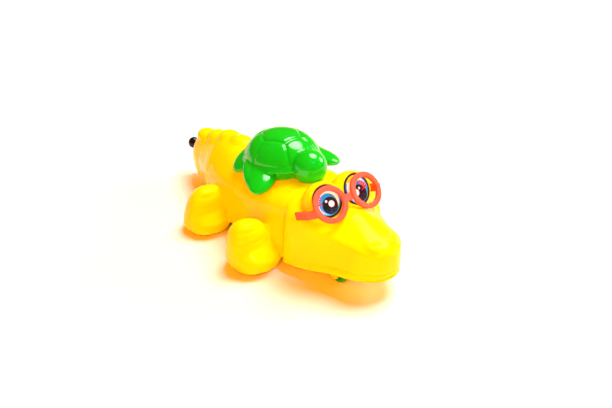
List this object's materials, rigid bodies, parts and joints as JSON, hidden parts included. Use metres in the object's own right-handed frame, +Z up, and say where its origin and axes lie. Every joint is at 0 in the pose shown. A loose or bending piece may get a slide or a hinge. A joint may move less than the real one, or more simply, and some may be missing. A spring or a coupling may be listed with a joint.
{
  "type": "pull-string toy crocodile",
  "caption": "Rolling toy crocodile in yellow plastic with a green turtle on its back, coral spectacles, printed eyes and a pull-string spring motor.",
  "frame": {"origin": "on the floor under the middle of the bounding box", "axes": "+X forward along the snout, +Y to the crocodile's left, +Z up"},
  "size_m": [0.1508, 0.083, 0.0513],
  "materials": {
    "yellow_plastic": "glossy moulded",
    "turtle_plastic": "glossy moulded",
    "green_plastic": "glossy moulded",
    "coral_plastic": "glossy moulded",
    "printed_film": "printed eye, glossy film",
    "black_plastic": "glossy",
    "ivory_nylon": "natural nylon",
    "red_plastic": "moulded",
    "tyre_rubber": "matt",
    "steel": "bright",
    "cord": "braided"
  },
  "bodies": {
    "toy": {"base_plate": "yellow_plastic", "base_screw_1": "steel", "base_screw_2": "steel", "base_screw_3": "steel", "base_screw_4": "steel", "body_shell": "yellow_plastic", "compound_pin": "steel", "gearbox_foot_screw_1": "steel", "gearbox_foot_screw_2": "steel", "gearbox_foot_screw_3": "steel", "gearbox_foot_screw_4": "steel", "gearbox_left_plate": "red_plastic", "gearbox_right_plate": "red_plastic", "gearbox_screw_1": "steel", "gearbox_screw_2": "steel", "gearbox_screw_3": "steel", "glasses": "coral_plastic", "left_eye_sticker": "printed_film", "main_spring": "steel", "pull_cord": "cord", "reel_arbor": "steel", "right_eye_sticker": "printed_film", "turtle": "turtle_plastic", "turtle_screw_front": "steel", "turtle_screw_rear": "steel"},
    "reel": {"string_reel": "ivory_nylon", "cord_winding": "cord"},
    "compound": {"compound_gear": "ivory_nylon"},
    "clutch": {"clutch_pinion": "ivory_nylon"},
    "drive": {"drive_axle": "steel", "axle_gear": "ivory_nylon", "left_drive_wheel": "green_plastic", "right_drive_wheel": "green_plastic", "left_drive_tyre": "tyre_rubber", "right_drive_tyre": "tyre_rubber"},
    "front": {"front_axle": "steel", "left_front_wheel": "green_plastic", "right_front_wheel": "green_plastic"},
    "knob": {"pull_knob": "black_plastic"}
  },
  "joints": [
    {"name": "reel_spin", "type": "hinge", "parent": "toy", "child": "reel", "pos_m": [0.01161, 0, 0.01758], "axis": [0, -1, 0], "range_deg": [0, 1710], "stiffness_Nm_per_rad": 0.0006, "springref_deg": -229.18, "deforming": ["main_spring"]},
    {"name": "pull", "type": "slide", "parent": "toy", "child": "knob", "axis": [-1, 0, 0], "range_m": [0, 0.224], "deforming": ["pull_cord"]},
    {"name": "compound_spin", "type": "hinge", "parent": "toy", "child": "compound", "pos_m": [-0.0008, 0, 0.01977], "axis": [0, -1, 0], "range_deg": [-5475, 0]},
    {"name": "clutch_pinion_spin", "type": "hinge", "parent": "toy", "child": "clutch", "pos_m": [-0.00926, 0, 0.01669], "axis": [0, -1, 0], "range_deg": [0, 10950]},
    {"name": "drive_axle_spin", "type": "hinge", "parent": "toy", "child": "drive", "pos_m": [-0.01341, 0, 0.0095], "axis": [0, 1, 0], "continuous": true},
    {"name": "front_axle_spin", "type": "hinge", "parent": "toy", "child": "front", "pos_m": [0.05059, 0, 0.006], "axis": [0, 1, 0], "continuous": true}
  ],
  "couplings": [
    {"joint": "pull", "follows": "reel_spin", "m_per_rad": 0.0075},
    {"joint": "compound_spin", "follows": "reel_spin", "ratio": -3.2},
    {"joint": "clutch_pinion_spin", "follows": "reel_spin", "ratio": 6.4}
  ]
}
